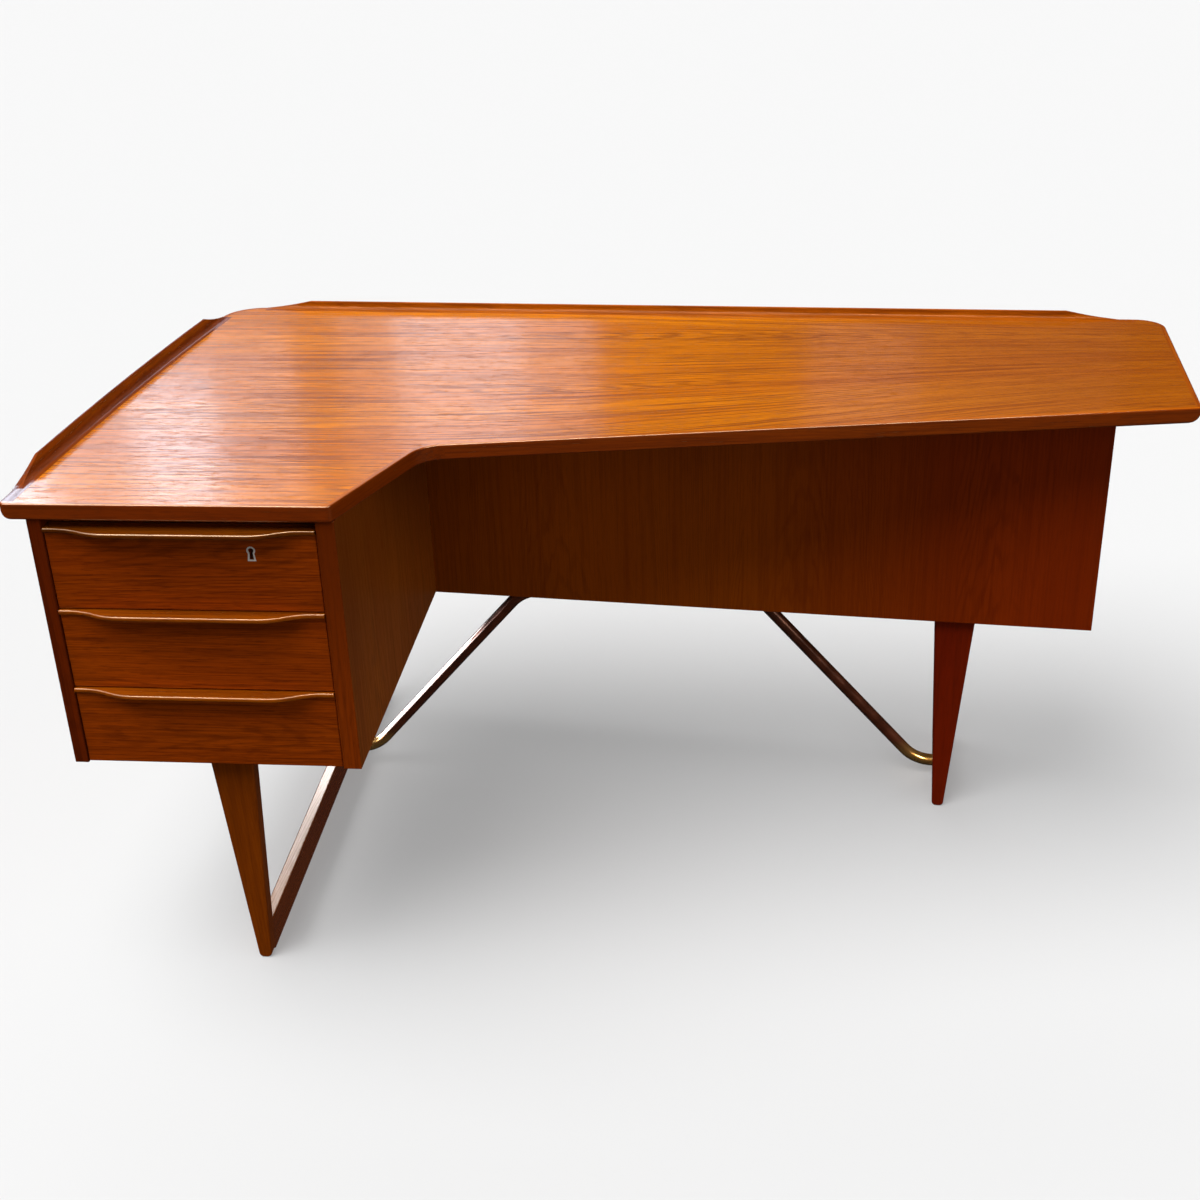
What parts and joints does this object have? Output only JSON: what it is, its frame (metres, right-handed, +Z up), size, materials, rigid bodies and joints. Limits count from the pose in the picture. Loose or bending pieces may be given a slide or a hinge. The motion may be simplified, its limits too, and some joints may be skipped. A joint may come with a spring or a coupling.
{
  "type": "writing desk",
  "caption": "Boomerang-plan teak writing desk with a drawer pedestal, a rear cabinet of book bays and a lockable door, wooden sled frames and a bent brass tube stretcher.",
  "frame": {"origin": "middle of the desk's box in plan, on the floor", "axes": "+X along the drawer fronts to the sitter's right, +Y away from the sitter, +Z up"},
  "size_m": [1.6116, 0.9048, 0.76],
  "materials": {
    "top_veneer": "satin lacquered teak veneer",
    "teak_edge": "satin solid teak",
    "teak_case": "satin teak veneer",
    "teak_drawer": "satin teak veneer",
    "teak_pull": "satin solid teak",
    "drawer_wood": "plain lacquered beech",
    "teak_leg": "satin solid teak",
    "tube_brass": "aged brass tube",
    "brass": "brass",
    "nickel": "nickel-plated",
    "lock_steel": "zinc-plated steel"
  },
  "bodies": {
    "desk": {"top_panel": "top_veneer", "corner_edging": "teak_edge", "front_edging": "teak_edge", "wing_edging": "teak_edge", "long_edging": "teak_edge", "end_edging": "teak_edge", "left_lip": "teak_edge", "back_lip": "teak_edge", "pedestal_side_left": "teak_case", "pedestal_side_right": "teak_case", "pedestal_bottom": "teak_case", "lock_rail": "teak_case", "drawer_slides": "drawer_wood", "cabinet_front": "teak_case", "cabinet_end_left": "teak_case", "cabinet_end_right": "teak_case", "cabinet_bottom": "teak_case", "divider_door_side": "teak_case", "divider_book_side": "teak_case", "hinge_leaves_case": "brass", "hinge_pins": "brass", "hinge_screws_case": "brass", "left_frame_front_leg": "teak_leg", "left_frame_rear_leg": "teak_leg", "left_frame_runner": "teak_leg", "left_frame_rail": "teak_leg", "right_frame_front_leg": "teak_leg", "right_frame_rear_leg": "teak_leg", "right_frame_runner": "teak_leg", "right_frame_rail": "teak_leg", "stretcher_tube": "tube_brass", "tube_clips": "brass", "underside_screws": "lock_steel"},
    "drawer_top": {"top_drawer_front": "teak_drawer", "top_drawer_pull": "teak_pull", "top_drawer_side_left": "drawer_wood", "top_drawer_side_right": "drawer_wood", "top_drawer_back": "drawer_wood", "top_drawer_bottom": "drawer_wood", "drawer_keyhole_plate": "nickel", "drawer_lock_case": "lock_steel"},
    "drawer_middle": {"middle_drawer_front": "teak_drawer", "middle_drawer_pull": "teak_pull", "middle_drawer_side_left": "drawer_wood", "middle_drawer_side_right": "drawer_wood", "middle_drawer_back": "drawer_wood", "middle_drawer_bottom": "drawer_wood"},
    "drawer_bottom": {"bottom_drawer_front": "teak_drawer", "bottom_drawer_pull": "teak_pull", "bottom_drawer_side_left": "drawer_wood", "bottom_drawer_side_right": "drawer_wood", "bottom_drawer_back": "drawer_wood", "bottom_drawer_bottom": "drawer_wood"},
    "drawer_bolt": {"drawer_lock_bolt": "lock_steel"},
    "door": {"door_panel": "teak_case", "door_keyhole_plate": "nickel", "door_lock_case": "lock_steel", "hinge_leaves_door": "brass", "hinge_screws_door": "brass"},
    "door_bolt": {"door_lock_bolt": "lock_steel"}
  },
  "joints": [
    {"name": "top_drawer_slide", "type": "slide", "parent": "desk", "child": "drawer_top", "axis": [0, -1, 0], "range_m": [0, 0.36]},
    {"name": "middle_drawer_slide", "type": "slide", "parent": "desk", "child": "drawer_middle", "axis": [0, -1, 0], "range_m": [0, 0.36]},
    {"name": "bottom_drawer_slide", "type": "slide", "parent": "desk", "child": "drawer_bottom", "axis": [0, -1, 0], "range_m": [0, 0.36]},
    {"name": "drawer_bolt_slide", "type": "slide", "parent": "drawer_top", "child": "drawer_bolt", "axis": [0, 0, 1], "range_m": [0, 0.009]},
    {"name": "door_hinge", "type": "hinge", "parent": "desk", "child": "door", "pos_m": [-0.70203, 0.41236, 0.5445], "axis": [0, 0, 1], "range_deg": [0, 120]},
    {"name": "door_bolt_slide", "type": "slide", "parent": "door", "child": "door_bolt", "axis": [0.9952, -0.0976, 0], "range_m": [0, 0.009]}
  ]
}
